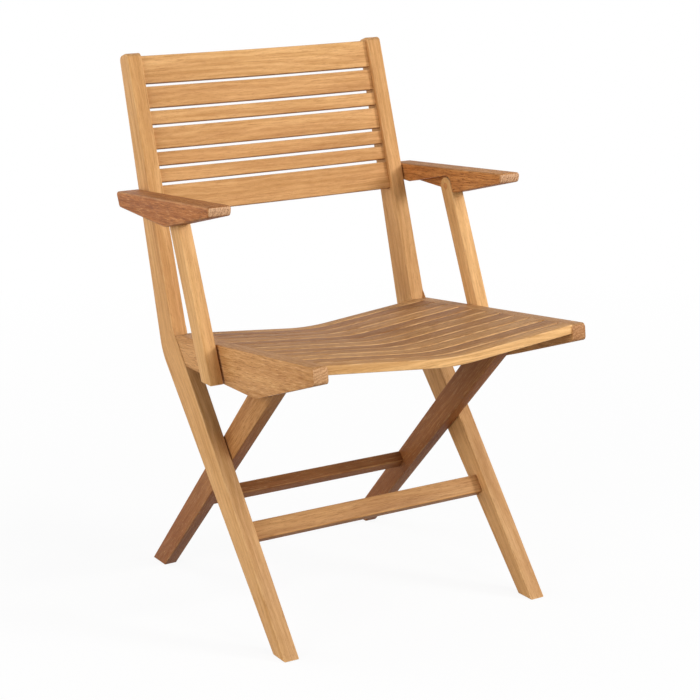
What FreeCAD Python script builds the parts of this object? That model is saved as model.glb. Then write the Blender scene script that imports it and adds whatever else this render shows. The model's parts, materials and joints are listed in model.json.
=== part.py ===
import FreeCAD, Part
import math
import os

os.makedirs("parts", exist_ok=True)
V = FreeCAD.Vector

# A folding wooden armchair, in millimetres.
# X runs across the chair, Y from the front to the rear and Z up.
# A side view is drawn with pairs (y, z), and every fold turns the front of a piece up and back.

# Sizes across the chair
inner_width = 427.0
leg_thickness = 25.5
rail_thickness = 24.0
rear_leg_thickness = 22.0
post_thickness = 22.5
arm_width = 38.0
leg_side_gap = 2.0
arm_side_gap = 2.0

# Main leg and upright, one bent piece from the front foot to the top of the back
chair_height = 870.0
foot_front_y = -339.5
foot_depth = 36.0
foot_lean = 38.13
back_lean = 17.17
bend_above_hinge = 18.8
rear_bend_below_hinge = 30.5
bend_level_depth = 77.9
top_depth = 29.2
rear_bend_radius = 75.0
top_corner_radius = 8.0

# Rear leg
rear_foot_front_y = 130.4
rear_foot_depth = 45.6
rear_leg_half_width = 23.6
rear_leg_nose = 21.5

# Seat rail
seat_hinge_height = 425.5
seat_rise = 5.31
rail_length = 437.0
rail_depth_front = 25.5
rail_bottom_drop = 36.5
rail_taper_start = 262.0
rail_corner_radius = 5.0
rail_taper_radius = 20.0
rail_end_gap = 1.0
nose_gap = 0.8

# Seat slats, dished to a soft valley in the middle
slat_pitch = 38.2
slat_gap = 4.0
slat_thickness = 14.0
front_slat_width = 30.0
least_rear_slat = 18.0
slat_front_inset = 1.5
slat_rear_overhang = 3.0
slat_dip = 20.0
slat_bend_radius = 400.0
slat_edge = 1.3
slat_tenon_depth = 9.0
slat_tenon_thickness = 7.0
slat_tenon_shoulder = 4.0

# Back boards, bowed a little to the rear
back_board_inset = 7.0
back_board_thickness = 12.0
back_board_bow = 5.0
back_rail_width = 45.5
wide_board_width = 34.8
narrow_board_width = 22.0
back_board_gap = 5.3
back_top_drop = 5.0
board_tenon_depth = 10.0
board_tenon_thickness = 7.0
board_tenon_shoulder = 4.0
board_edge = 1.4

# Stretchers
front_stretcher_up = 213.0
front_stretcher_width = 30.0
front_stretcher_thickness = 18.0
front_stretcher_inset = 17.0
rear_stretcher_up = 221.0
rear_stretcher_width = 22.0
rear_stretcher_thickness = 20.0
rear_stretcher_inset = 1.2
stretcher_tenon_depth = 12.0
stretcher_tenon_shoulder = 4.0

# Places along the seat, forward from its hinge and down from it
bolt_along = 137.9
bolt_down = 18.3
hook_along = 257.4
hook_down = 34.5

# Posts, from the pin in the rail up to the pin in the arm
post_length = 229.3
post_lean = 22.16
post_depth = 29.2
post_nose_gap = 0.4
post_foot_drop = 29.5

# Arms, measured from the pin of the post's top
arm_rear_reach = 173.0
arm_rear_up = 20.6
arm_rear_thickness = 24.5
arm_rear_cut = 11.0
arm_front_reach = 159.0
arm_front_up = 39.6
arm_front_thickness = 15.5
arm_front_cut = 4.0
arm_belly_ahead = 4.0
arm_belly_drop = 12.4
arm_belly_radius = 45.0
arm_corner_radius = 5.5
arm_edge = 2.0
notch_side_gap = 1.0
notch_roof_gap = 3.2
notch_nose_gap = 2.7
notch_front_lean = 22.0

# Metal
pin_radius = 4.0
pin_depth = 13.5
pin_end_gap = 0.5
bolt_depth = 16.0
hinge_pin_radius = 2.5
hinge_pin_length = 20.5
tongue_thickness = 6.0
tongue_length = 34.0
tongue_eye_wall = 3.0
arm_pin_radius = 4.8
arm_pin_share = 0.7
plug_depth = 4.0
rod_radius = 5.0
hook_depth = 10.0

# Clearances and small roundings
run_gap = 0.1
loose_gap = 0.3
hook_gap = 0.5
fixed_gap = 0.05
edge_cut = 1.4
past = 1.0
reach = 1000.0

# The fold, in degrees, and the share of it that the rear legs take
seat_fold = 100.0
rear_leg_share = 0.62
hook_exit = 17.0

# Planes across the chair, measured from the middle
inner = inner_width / 2
leg_outer = inner + leg_thickness
rail_outer = inner + rail_thickness
rear_leg_outer = inner - leg_side_gap
rear_leg_inner = rear_leg_outer - rear_leg_thickness
arm_inner = leg_outer + arm_side_gap
arm_outer = arm_inner + arm_width
post_inner = arm_inner
post_outer = post_inner + post_thickness


def add(p, q, k=1.0):
    return (p[0] + k * q[0], p[1] + k * q[1])


def unit(angle):
    return (math.cos(math.radians(angle)), math.sin(math.radians(angle)))


def lean(angle):
    """Direction upwards that leans to the rear by an angle from the vertical."""
    return (math.sin(math.radians(angle)), math.cos(math.radians(angle)))


def rearward(d):
    """Normal of an upward direction, on its rear side."""
    return (d[1], -d[0])


def dot(p, q):
    return p[0] * q[0] + p[1] * q[1]


def length(p):
    return math.hypot(p[0], p[1])


def toward(p, q):
    d = add(q, p, -1.0)
    return (d[0] / length(d), d[1] / length(d))


def cross_point(p, d, q, e):
    """Point where the line through p along d meets the line through q along e."""
    s = ((q[0] - p[0]) * e[1] - (q[1] - p[1]) * e[0]) / (d[0] * e[1] - d[1] * e[0])
    return add(p, d, s)


def at_height(p, d, z):
    return add(p, d, (z - p[1]) / d[1])


def front_up(p, centre, angle):
    """Turn a point about a centre so that what lies in front of it goes up."""
    c, s = unit(angle)
    y, z = add(p, centre, -1.0)
    return (centre[0] + y * c + z * s, centre[1] - y * s + z * c)


def vec(p, x=0.0):
    return V(x, p[0], p[1])


def outline(corners):
    """Closed wire through corners (point, radius), each corner rounded to its radius."""
    starts = []
    ends = []
    mids = []
    n = len(corners)
    for i in range(n):
        p, r = corners[i]
        a = toward(p, corners[i - 1][0])
        b = toward(p, corners[(i + 1) % n][0])
        half = math.acos(max(-1.0, min(1.0, dot(a, b)))) / 2
        cut = r / math.tan(half)
        middle = add(a, b)
        starts.append(add(p, a, cut))
        ends.append(add(p, b, cut))
        if r > 0:
            mids.append(add(p, middle, (r / math.sin(half) - r) / length(middle)))
        else:
            mids.append(None)
    edges = []
    for i in range(n):
        if mids[i]:
            edges.append(Part.Arc(vec(starts[i]), vec(mids[i]), vec(ends[i])).toShape())
        edges.append(Part.LineSegment(vec(ends[i]), vec(starts[(i + 1) % n])).toShape())
    return Part.Wire(edges)


def prism(corners, x0, x1):
    """Side-view outline pushed across the chair from x0 to x1."""
    face = Part.Face(outline(corners))
    face.translate(V(x0, 0, 0))
    return face.extrude(V(x1 - x0, 0, 0))


def sharp(points):
    return [(p, 0.0) for p in points]


def rod(centre, radius, x0, x1):
    return Part.makeCylinder(radius, x1 - x0, vec(centre, x0), V(1, 0, 0))


def ease(solid, size, x0, x1):
    """Take off the long edges that lie in the two side faces."""
    edges = []
    for e in solid.Edges:
        b = e.BoundBox
        if b.XLength < 1e-4 and min(abs(b.XMin - x0), abs(b.XMin - x1)) < 1e-4:
            edges.append(e)
    return solid.makeChamfer(size, edges)


def bevel_long(bar):
    """Take off the four long edges of a bar across the chair."""
    return bar.makeChamfer(edge_cut, [e for e in bar.Edges if e.BoundBox.XLength > past])


def block(origin, direction, along, across):
    """Bar section turned to a direction: ranges along it and across it to the rear."""
    n = rearward(direction)
    low = add(origin, direction, along[0])
    high = add(origin, direction, along[1])
    points = [add(low, n, across[0]), add(high, n, across[0])]
    points += [add(high, n, across[1]), add(low, n, across[1])]
    return points


def mirrored(shape):
    return shape.mirror(V(0, 0, 0), V(1, 0, 0))


def both(shape):
    return Part.makeCompound([mirrored(shape), shape])


nodes = {}


def sides(name, shape):
    """Keep a piece of the right side and its mirror image on the left side."""
    nodes[name + "_left"] = mirrored(shape)
    nodes[name + "_right"] = shape


# Side-view lines of the main leg
foot_front = (foot_front_y, 0.0)
foot_rear = (foot_front_y + foot_depth, 0.0)
foot_dir = lean(foot_lean)
back_dir = lean(back_lean)
back_normal = rearward(back_dir)
front_bend = at_height(foot_front, foot_dir, seat_hinge_height + bend_above_hinge)
rear_bend = add(at_height(foot_front, foot_dir, seat_hinge_height - rear_bend_below_hinge), (bend_level_depth, 0.0))
leg_top = at_height(front_bend, back_dir, chair_height)
leg_top_rear = add(leg_top, back_normal, top_depth)

# The seat hinge lies on the leg's lower front line, in a hollow that ends on its upper front line
hinge = at_height(foot_front, foot_dir, seat_hinge_height)
hollow_radius = dot(add(front_bend, hinge, -1.0), back_normal)
hollow_end = add(hinge, back_normal, hollow_radius)
nose_radius = hollow_radius - nose_gap
eye_radius = hinge_pin_radius + tongue_eye_wall

# Pivots along the seat, then the arm pivot, which closes a parallelogram with the hinge and the post
seat_dir = (-math.cos(math.radians(seat_rise)), math.sin(math.radians(seat_rise)))
seat_up = (math.sin(math.radians(seat_rise)), math.cos(math.radians(seat_rise)))
rail_pivot = add(add(hinge, seat_dir, bolt_along), seat_up, -bolt_down)
hook_rod = add(add(hinge, seat_dir, hook_along), seat_up, -hook_down)
post_dir = lean(post_lean)
post_top_pivot = add(rail_pivot, post_dir, post_length)
arm_pivot = add(hinge, post_dir, post_length)

# The legs cross on the middle lines of both
foot_middle = add(foot_front, foot_rear)
foot_middle = (foot_middle[0] / 2, foot_middle[1] / 2)
bend_middle = add(rear_bend, (bend_level_depth / 2, 0.0), -1.0)
rear_foot_middle = (rear_foot_front_y + rear_foot_depth / 2, 0.0)
cross_pivot = cross_point(foot_middle, toward(foot_middle, bend_middle),
                          rear_foot_middle, toward(rear_foot_middle, hook_rod))

# Main leg with its hollow for the nose of the seat rail
leg = prism([(foot_front, 0.0), (front_bend, 0.0), (leg_top, top_corner_radius),
             (leg_top_rear, top_corner_radius), (rear_bend, rear_bend_radius), (foot_rear, 0.0)],
            inner, leg_outer)
leg = ease(leg, edge_cut, inner, leg_outer)
in_front = add(front_bend, rearward(foot_dir), -hollow_radius)
relief = prism(sharp([hollow_end, front_bend, in_front, add(hinge, rearward(foot_dir), -hollow_radius), hinge]),
               inner - past, leg_outer + past)
leg = leg.cut(rod(hinge, hollow_radius, inner - past, leg_outer + past).fuse(relief))

# Steel tongue, let into the leg, whose eye reaches into the nose of the rail
tongue_x0 = inner + (rail_thickness - tongue_thickness) / 2
tongue_x1 = tongue_x0 + tongue_thickness
tongue_dir = rearward(foot_dir)
tongue_start = add(hinge, foot_dir, -eye_radius * 0.9)
tongue_end = add(hinge, foot_dir, eye_radius * 0.9)
tongue = prism([(tongue_start, 0.0), (tongue_end, 0.0), (add(tongue_end, tongue_dir, tongue_length), 0.0),
                (add(tongue_start, tongue_dir, tongue_length), 0.0)], tongue_x0, tongue_x1)
tongue = tongue.fuse(rod(hinge, eye_radius, tongue_x0, tongue_x1)).removeSplitter()
leg = leg.cut(tongue)
tongue = tongue.cut(rod(hinge, hinge_pin_radius + run_gap, tongue_x0 - past, tongue_x1 + past))
nodes["seat_hinge_tongues"] = both(tongue)

# Pins of the arm and of the crossing legs, blind in both pieces that they join
pins = []
for centre, gap_start, gap in ((arm_pivot, leg_outer, arm_side_gap), (cross_pivot, rear_leg_outer, leg_side_gap)):
    pin = rod(centre, pin_radius, gap_start - pin_depth, gap_start + gap + pin_depth)
    pins += [pin, mirrored(pin)]
nodes["pivot_pins"] = Part.makeCompound(pins)
leg = leg.cut(rod(arm_pivot, pin_radius + fixed_gap, leg_outer - pin_depth - pin_end_gap, leg_outer + past))
leg = leg.cut(rod(cross_pivot, pin_radius + fixed_gap, inner - past, inner + pin_depth + pin_end_gap))

# Back boards, tenoned into the uprights, from the top rail down to the bottom rail
upright_base = at_height(front_bend, back_dir, 0.0)
top_along = length(add(leg_top, upright_base, -1.0)) - back_top_drop
board_names = ["back_rail_top", "back_board_1", "back_board_2", "back_board_3", "back_board_4", "back_board_5",
               "back_rail_bottom"]
board_widths = [back_rail_width, wide_board_width, narrow_board_width, wide_board_width, narrow_board_width,
                narrow_board_width, back_rail_width]


def bowed_board(width):
    """Board with its lower edge at height 0 and its front face bowed to the rear."""
    near = back_board_inset
    far = near + back_board_thickness
    front = Part.Arc(V(-inner, near, 0), V(0, near + back_board_bow, 0), V(inner, near, 0)).toShape()
    rear = Part.Arc(V(inner, far, 0), V(0, far + back_board_bow, 0), V(-inner, far, 0)).toShape()
    right = Part.LineSegment(V(inner, near, 0), V(inner, far, 0)).toShape()
    left = Part.LineSegment(V(-inner, far, 0), V(-inner, near, 0)).toShape()
    board = Part.Face(Part.Wire([front, right, rear, left])).extrude(V(0, 0, width))
    edges = [e for e in board.Edges if e.BoundBox.ZLength < 1e-4 and e.BoundBox.XLength > past]
    return board.makeChamfer(board_edge, edges)


along = top_along
for name, width in zip(board_names, board_widths):
    board = bowed_board(width)
    tenon = Part.makeBox(2 * (inner + board_tenon_depth), board_tenon_thickness, width - 2 * board_tenon_shoulder)
    middle = back_board_inset + (back_board_thickness - board_tenon_thickness) / 2
    tenon.translate(V(-inner - board_tenon_depth, middle, board_tenon_shoulder))
    tenon = tenon.cut(Part.makeBox(inner_width, reach, reach, V(-inner, 0, 0)))
    board = board.fuse(tenon)
    board.translate(V(0, 0, along - width))
    board.rotate(V(0, 0, 0), V(1, 0, 0), -back_lean)
    board.translate(vec(upright_base))
    nodes[name] = board
    leg = leg.cut(board)
    along -= width + back_board_gap

# Front stretcher, tenoned into the main legs
middle = front_stretcher_up
half = front_stretcher_width / 2
deep = (front_stretcher_inset, front_stretcher_inset + front_stretcher_thickness)
bar = block(foot_front, foot_dir, (middle - half, middle + half), deep)
stretcher = bevel_long(prism(sharp(bar), -inner, inner))
half -= stretcher_tenon_shoulder
deep = (deep[0] + stretcher_tenon_shoulder, deep[1] - stretcher_tenon_shoulder)
bar = block(foot_front, foot_dir, (middle - half, middle + half), deep)
tenon = prism(sharp(bar), inner, inner + stretcher_tenon_depth)
leg = leg.cut(tenon)
nodes["front_stretcher"] = stretcher.fuse([tenon, mirrored(tenon)])
sides("main_leg", leg)

# Rear leg with a nose round the hook rod
rear_foot_front = (rear_foot_front_y, 0.0)
rear_foot_rear = (rear_foot_front_y + rear_foot_depth, 0.0)
axis_dir = toward(rear_foot_middle, hook_rod)
nose_across = rearward(axis_dir)
rear_front_dir = toward(rear_foot_front, add(hook_rod, nose_across, -rear_leg_half_width))
rear_rear_dir = toward(rear_foot_rear, add(hook_rod, nose_across, rear_leg_half_width))
nose_top = add(hook_rod, axis_dir, rear_leg_nose)
nose_front = cross_point(nose_top, nose_across, rear_foot_front, rear_front_dir)
nose_rear = cross_point(nose_top, nose_across, rear_foot_rear, rear_rear_dir)
rear_leg = prism([(rear_foot_front, 0.0), (rear_foot_rear, 0.0), (nose_rear, rear_leg_nose),
                  (nose_front, rear_leg_nose)], rear_leg_inner, rear_leg_outer)
rear_leg = ease(rear_leg, edge_cut, rear_leg_inner, rear_leg_outer)
rear_leg = rear_leg.cut(rod(cross_pivot, pin_radius + run_gap, rear_leg_outer - pin_depth - pin_end_gap, inner))
rear_leg = rear_leg.cut(rod(hook_rod, rod_radius + fixed_gap, rear_leg_inner - past, inner))

# Rear stretcher, tenoned into the rear legs
half = rear_stretcher_width / 2
middle = rear_stretcher_up
deep = (-rear_stretcher_inset - rear_stretcher_thickness, -rear_stretcher_inset)
bar = block(rear_foot_rear, rear_rear_dir, (middle - half, middle + half), deep)
stretcher = bevel_long(prism(sharp(bar), -rear_leg_inner, rear_leg_inner))
half -= stretcher_tenon_shoulder
deep = (deep[0] + stretcher_tenon_shoulder, deep[1] - stretcher_tenon_shoulder)
bar = block(rear_foot_rear, rear_rear_dir, (middle - half, middle + half), deep)
tenon = prism(sharp(bar), rear_leg_inner, rear_leg_inner + stretcher_tenon_depth)
rear_leg = rear_leg.cut(tenon)
nodes["rear_stretcher"] = stretcher.fuse([tenon, mirrored(tenon)])
sides("rear_leg", rear_leg)

# Hook rod, fixed in the tops of the rear legs
rod_end = inner + hook_depth - hook_gap
nodes["hook_rod"] = rod(hook_rod, rod_radius, -rod_end, rod_end)

# Seat rail: its top touches the hinge nose, its rear end follows the leg
rail_bottom_height = seat_hinge_height - rail_bottom_drop
rail_top_rear = add(hinge, seat_up, nose_radius)
rail_top_front = add(rail_top_rear, seat_dir, rail_length)
rail_front_low = add(rail_top_front, seat_up, -rail_depth_front)
taper_start = at_height(add(hinge, seat_dir, rail_taper_start), (0.0, 1.0), rail_bottom_height)
rail_far_rear = at_height(add(hinge, seat_dir, -rail_bottom_drop), (0.0, 1.0), rail_bottom_height)
rail = prism([(add(rail_top_rear, seat_dir, -rail_bottom_drop), 0.0), (rail_far_rear, 0.0),
              (taper_start, rail_taper_radius), (rail_front_low, rail_corner_radius),
              (rail_top_front, rail_corner_radius)], inner, rail_outer)
rail = ease(rail, edge_cut, inner, rail_outer)
end_line = add(hinge, rearward(foot_dir), -rail_end_gap)
keep_low = at_height(end_line, foot_dir, rail_bottom_height - rail_bottom_drop)
keep_front = add(rail_top_front, seat_dir, rail_bottom_drop)
keep = prism(sharp([cross_point(end_line, foot_dir, hinge, seat_up), add(rail_top_rear, seat_up, nose_radius),
                    add(keep_front, seat_up, nose_radius), (keep_front[0], keep_low[1]), keep_low]),
             inner - past, rail_outer + past)
rail = rail.common(keep.fuse(rod(hinge, nose_radius, inner - past, rail_outer + past)))

# Slot for the tongue, open over the way that the tongue sweeps
slot_x0 = tongue_x0 - loose_gap
slot_x1 = tongue_x1 + loose_gap
bisector = unit(math.degrees(math.atan2(tongue_dir[1], tongue_dir[0])) + seat_fold / 2)
side = (-bisector[1], bisector[0])
slot_front = add(hinge, bisector, -eye_radius * 0.4 - loose_gap)
slot_reach = 3 * nose_radius
slot_points = [add(slot_front, side, slot_reach), add(slot_front, side, -slot_reach)]
slot_points += [add(slot_points[1], bisector, slot_reach), add(slot_points[0], bisector, slot_reach)]
slot = prism(sharp(slot_points), slot_x0, slot_x1)
slot = slot.fuse(rod(hinge, eye_radius + loose_gap, slot_x0, slot_x1))
rail = rail.cut(slot)

# Hinge pin, let in from the rail's inner face
rail = rail.cut(rod(hinge, hinge_pin_radius + fixed_gap, inner - past, inner + hinge_pin_length + fixed_gap))
nodes["hinge_pins"] = both(rod(hinge, hinge_pin_radius, inner, inner + hinge_pin_length))

# Open hook in the inner face, cut along the way that the rod takes out of the rail


def rod_in_rail(fold):
    """Centre of the hook rod as the seat rail sees it at a fold angle."""
    here = front_up(hook_rod, cross_pivot, rear_leg_share * fold)
    return front_up(here, hinge, -fold)


way = [rod_in_rail(hook_exit * k) for k in (0.0, 0.5, 1.0)]
circle = Part.Arc(vec(way[0]), vec(way[1]), vec(way[2])).toShape().Curve
centre = (circle.Center.y, circle.Center.z)
half = rod_radius + hook_gap
far_side = [add(p, toward(centre, p), half) for p in way]
near_side = [add(p, toward(centre, p), -half) for p in way]
tangent = toward(way[0], way[1])
cap = add(way[0], tangent, -half)
hook = Part.Wire([
    Part.Arc(vec(far_side[0]), vec(far_side[1]), vec(far_side[2])).toShape(),
    Part.LineSegment(vec(far_side[2]), vec(near_side[2])).toShape(),
    Part.Arc(vec(near_side[2]), vec(near_side[1]), vec(near_side[0])).toShape(),
    Part.Arc(vec(near_side[0]), vec(cap), vec(far_side[0])).toShape()])
hook = Part.Face(hook)
hook.translate(V(inner - past, 0, 0))
rail = rail.cut(hook.extrude(V(hook_depth + past, 0, 0)))

# Bolt of the post, fixed in the post; the rail's blind bore leaves it loose
bolt_start = rail_outer - bolt_depth
bolt_end = post_inner + bolt_depth
rail = rail.cut(rod(rail_pivot, pin_radius + loose_gap, bolt_start - pin_end_gap, rail_outer + past))
sides("post_bolt", rod(rail_pivot, pin_radius, bolt_start, bolt_end))

# Seat slats along the rail's top, drawn level and then turned to its rise
def dished_slat(y0, y1):
    """Slat between two places along the seat, with a soft valley over the middle."""
    low_radius = slat_bend_radius + slat_thickness
    slope = math.atan2(slat_dip, inner)
    top_cut = slat_bend_radius * math.sin(slope)
    low_cut = low_radius * math.sin(slope)
    top_mid = slat_dip - slat_bend_radius * (1 / math.cos(slope) - 1)
    low_mid = slat_dip + slat_thickness / math.cos(slope) - low_radius * (1 / math.cos(slope) - 1)

    def on_top(x):
        return V(x, y0, -slat_dip + abs(x) * math.tan(slope))

    def on_low(x):
        return on_top(x) - V(0, 0, slat_thickness / math.cos(slope))

    edges = [
        Part.LineSegment(on_top(-inner), on_top(-top_cut)).toShape(),
        Part.Arc(on_top(-top_cut), V(0, y0, -top_mid), on_top(top_cut)).toShape(),
        Part.LineSegment(on_top(top_cut), on_top(inner)).toShape(),
        Part.LineSegment(on_top(inner), on_low(inner)).toShape(),
        Part.LineSegment(on_low(inner), on_low(low_cut)).toShape(),
        Part.Arc(on_low(low_cut), V(0, y0, -low_mid), on_low(-low_cut)).toShape(),
        Part.LineSegment(on_low(-low_cut), on_low(-inner)).toShape(),
        Part.LineSegment(on_low(-inner), on_top(-inner)).toShape()]
    slat = Part.Face(Part.Wire(edges)).extrude(V(0, y1 - y0, 0))
    top_edges = [e for e in slat.Edges if e.BoundBox.XLength > past and e.BoundBox.ZMax > -slat_dip
                 and abs(e.BoundBox.Center.z - on_top(e.BoundBox.Center.x).z) < slat_thickness / 2]
    return slat.makeChamfer(slat_edge, top_edges)


seat_front = -(rail_length - slat_front_inset)
edge = seat_front
space = slat_rear_overhang - seat_front - front_slat_width - slat_gap
slat_count = 2 + int((space - least_rear_slat) / slat_pitch)
for i in range(slat_count):
    width = front_slat_width if i == 0 else slat_pitch - slat_gap
    last = i == slat_count - 1
    end = slat_rear_overhang if last else edge + width
    slat = dished_slat(edge, end)
    tenon_end = -(hinge_pin_radius + slat_tenon_shoulder) if last else end - slat_tenon_shoulder
    tenon = Part.makeBox(2 * (inner + slat_tenon_depth), tenon_end - edge - slat_tenon_shoulder,
                         slat_tenon_thickness)
    lower = (slat_thickness + slat_tenon_thickness) / 2
    tenon.translate(V(-inner - slat_tenon_depth, edge + slat_tenon_shoulder, -lower))
    tenon = tenon.cut(Part.makeBox(inner_width, reach, reach, V(-inner, -reach / 2, -reach / 2)))
    slat = slat.fuse(tenon)
    slat.rotate(V(0, 0, 0), V(1, 0, 0), -seat_rise)
    slat.translate(vec(rail_top_rear))
    nodes["seat_slat_" + str(i + 1).zfill(2)] = slat
    rail = rail.cut(slat)
    edge = end + slat_gap
sides("seat_rail", rail)

# Post, a straight bar with a round top about the arm's pin
post_half = post_depth / 2
post_nose = post_half + post_nose_gap
post_normal = rearward(post_dir)
post_top = add(post_top_pivot, post_dir, post_nose)
post_foot = rail_pivot[1] - post_foot_drop
low_front = at_height(add(rail_pivot, post_normal, -post_half), post_dir, post_foot)
low_rear = at_height(add(rail_pivot, post_normal, post_half), post_dir, post_foot)
post = prism([(low_front, 0.0), (add(post_top, post_normal, -post_half), post_half * 0.96),
              (add(post_top, post_normal, post_half), post_half * 0.96), (low_rear, 0.0)],
             post_inner, post_outer)
post = ease(post, edge_cut, post_inner, post_outer)
post = post.cut(rod(rail_pivot, pin_radius + fixed_gap, post_inner - past, bolt_end + fixed_gap))
post = post.cut(rod(post_top_pivot, arm_pin_radius + run_gap, post_inner - past, post_outer + past))
sides("post", post)
post_plug = rod(post_top_pivot, arm_pin_radius + run_gap - fixed_gap, post_inner, post_inner + plug_depth)
sides("post_plug", post_plug)

# Arm with a notch under it for the top of the post
arm_rear_top = add(post_top_pivot, (arm_rear_reach, arm_rear_up))
arm_rear_bottom = add(arm_rear_top, (-arm_rear_cut, -arm_rear_thickness))
arm_front_top = add(post_top_pivot, (-arm_front_reach, arm_front_up))
arm_front_bottom = add(arm_front_top, (arm_front_cut, -arm_front_thickness))
arm_belly = add(post_top_pivot, (-arm_belly_ahead, -arm_belly_drop))
arm = prism([(arm_rear_top, arm_corner_radius), (arm_front_top, arm_corner_radius),
             (arm_front_bottom, arm_corner_radius), (arm_belly, arm_belly_radius),
             (arm_rear_bottom, arm_corner_radius)], arm_inner, arm_outer)
arm = ease(arm, arm_edge, arm_inner, arm_outer)
notch_outer = post_outer + notch_side_gap
notch_radius = post_nose + notch_nose_gap
roof_dir = front_up(post_dir, (0.0, 0.0), -seat_fold)
roof_dir = (-roof_dir[0], -roof_dir[1])
roof_normal = rearward(roof_dir)
if roof_normal[1] < 0:
    roof_normal = (-roof_normal[0], -roof_normal[1])
roof = add(post_top_pivot, roof_normal, post_half + notch_roof_gap)
notch_low = post_top_pivot[1] - post_depth
roof_rear = at_height(roof, roof_dir, notch_low)
wall_dir = lean(notch_front_lean)
wall_normal = rearward(wall_dir)
wall = add(post_top_pivot, wall_normal, -notch_radius)
wall_low = at_height(wall, wall_dir, notch_low)
notch_corner = cross_point(roof, roof_dir, wall, wall_dir)
notch = prism([(notch_corner, notch_radius * 0.8), (wall_low, 0.0), (roof_rear, 0.0)],
              arm_inner - past, notch_outer)
arm = arm.cut(notch)
arm = arm.cut(rod(arm_pivot, pin_radius + run_gap, arm_inner - past, arm_inner + pin_depth + pin_end_gap))
arm_pin_end = notch_outer + (arm_outer - notch_outer) * arm_pin_share
arm = arm.cut(rod(post_top_pivot, arm_pin_radius + fixed_gap, notch_outer - past, arm_pin_end + fixed_gap))
sides("arm", arm)
sides("arm_pin", rod(post_top_pivot, arm_pin_radius, post_inner + plug_depth + loose_gap, arm_pin_end))

# The origin lies on the floor, under the middle of the chair
box = Part.makeCompound(list(nodes.values())).optimalBoundingBox(False, False)
shift = V(0, -(box.YMin + box.YMax) / 2, 0)
for name, shape in nodes.items():
    shape.translate(shift)
    shape.exportStep("parts/" + name + ".step")
    print(name, "solids", len(shape.Solids), "valid", shape.isValid(), "volume", round(shape.Volume, 1))
print("shift", round(shift.y, 4), round(shift.z, 4))
print("box", round(box.XLength, 2), round(box.YLength, 2), round(box.ZLength, 2))
for name, point in (("hinge", hinge), ("cross_pivot", cross_pivot), ("arm_pivot", arm_pivot),
                    ("post_top_pivot", post_top_pivot), ("rail_pivot", rail_pivot), ("hook_rod", hook_rod)):
    print("pivot", name, round(point[0] + shift.y, 4), round(point[1] + shift.z, 4))
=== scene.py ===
import json
import math
from functools import partial
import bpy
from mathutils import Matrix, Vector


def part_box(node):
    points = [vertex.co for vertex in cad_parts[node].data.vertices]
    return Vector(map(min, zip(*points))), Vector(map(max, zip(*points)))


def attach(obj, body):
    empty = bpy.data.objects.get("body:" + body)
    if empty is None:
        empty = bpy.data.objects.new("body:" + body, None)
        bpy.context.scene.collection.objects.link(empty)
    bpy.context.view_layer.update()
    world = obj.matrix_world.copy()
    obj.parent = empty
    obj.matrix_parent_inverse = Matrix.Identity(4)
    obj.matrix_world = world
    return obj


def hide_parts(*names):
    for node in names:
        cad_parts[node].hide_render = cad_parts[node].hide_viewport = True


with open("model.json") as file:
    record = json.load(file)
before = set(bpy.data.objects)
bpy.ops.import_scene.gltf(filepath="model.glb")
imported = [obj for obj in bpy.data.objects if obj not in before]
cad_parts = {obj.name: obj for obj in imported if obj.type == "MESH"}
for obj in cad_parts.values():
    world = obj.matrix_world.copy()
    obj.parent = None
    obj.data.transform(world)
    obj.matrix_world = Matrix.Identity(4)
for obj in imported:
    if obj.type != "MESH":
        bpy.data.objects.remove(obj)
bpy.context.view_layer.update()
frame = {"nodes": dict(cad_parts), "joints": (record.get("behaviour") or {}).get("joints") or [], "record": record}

from types import SimpleNamespace

import bmesh
import bpy
from mathutils import Matrix, Vector

bl_info = {
    "name": "Folding Teak Armchair",
    "version": (1, 0, 0),
    "blender": (4, 5, 0),
    "location": "3D View > Sidebar > Armchair",
    "description": "Dresses a folding teak armchair with rounded, grained pieces",
    "category": "Object",
}

JOINTS = {j["name"]: j for j in frame["joints"]}


def joint_place(name):
    """Where a joint's axis passes in the side view, as (y, z)."""
    place = JOINTS[name]["pos_m"]
    return Vector((place[1], place[2]))


def node_range(node, axis):
    """Lowest and highest place of a CAD node on one axis."""
    low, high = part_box(node)
    return low[axis], high[axis]


HINGE = joint_place("seat_fold")
ARM_PIVOT = joint_place("arm_right_fold")
POST_TOP = joint_place("post_right_fold")
RAIL_PIVOT = HINGE + POST_TOP - ARM_PIVOT
HOOK_ROD = Vector([sum(node_range("hook_rod", k)) / 2 for k in (1, 2)])
LEG_X = node_range("main_leg_right", 0)
RAIL_X = node_range("seat_rail_right", 0)
REAR_LEG_X = node_range("rear_leg_right", 0)
POST_X = node_range("post_right", 0)
ARM_X = node_range("arm_right", 0)
INNER = LEG_X[0]
UP = Vector((0.0, 1.0))
ACROSS = Vector((1.0, 0.0, 0.0))

# Fits in metres: reach past a neighbour's face, gap round the hinge's nose, gap beside a moving piece
OVERLAP = 0.002
HINGE_GAP = 0.0008
SIDE_GAP = 0.0004

# Distance below which two places are one, and the angles that are rounded and shaded smooth
SAME_PLACE = 2e-5
ROUNDED_FROM = math.radians(30)
SMOOTH_BELOW = math.radians(38)

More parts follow.
